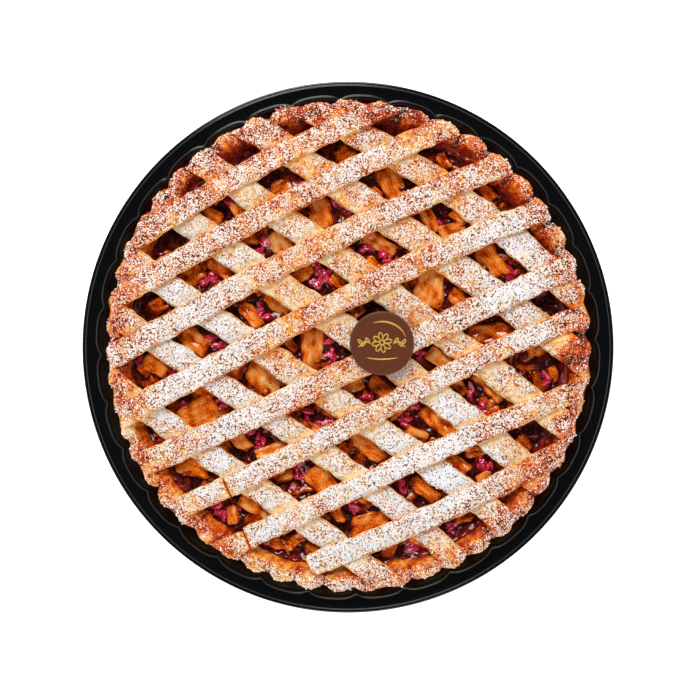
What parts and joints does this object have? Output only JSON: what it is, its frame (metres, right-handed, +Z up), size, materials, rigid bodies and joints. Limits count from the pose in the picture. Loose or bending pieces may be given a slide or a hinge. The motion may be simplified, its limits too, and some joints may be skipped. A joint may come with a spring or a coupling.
{
  "type": "apple galette",
  "caption": "Round lattice-topped apple tart in a fluted crust, dusted with icing sugar, with a berry and apple filling and a chocolate disc, served in a shallow lobed black tray",
  "frame": {"origin": "centre of the tray's flat underside", "axes": "+Z up; +Y points to the top of the picture and +X to its right"},
  "size_m": [0.3048, 0.3048, 0.0368],
  "materials": {
    "tray_plastic": "glossy black formed plastic",
    "crust_dough": "baked short pastry, sugar dusted",
    "lattice_dough": "baked pastry ribbons, sugar dusted",
    "filling": "cooked apple and berries in wet dark sauce",
    "chocolate": "satin milk chocolate with a gold motif"
  },
  "bodies": {
    "root": {"tray": "tray_plastic", "crust": "crust_dough", "filling": "filling", "under_strip_1": "lattice_dough", "under_strip_2": "lattice_dough", "under_strip_3": "lattice_dough", "under_strip_4": "lattice_dough", "under_strip_5": "lattice_dough", "under_strip_6": "lattice_dough", "under_strip_7": "lattice_dough", "over_strip_1": "lattice_dough", "over_strip_2": "lattice_dough", "over_strip_3": "lattice_dough", "over_strip_4": "lattice_dough", "over_strip_5": "lattice_dough", "over_strip_6": "lattice_dough", "over_strip_7": "lattice_dough", "over_strip_8": "lattice_dough", "over_strip_6_scrap": "lattice_dough", "over_strip_7_scrap": "lattice_dough", "chocolate_disc": "chocolate"}
  },
  "joints": []
}
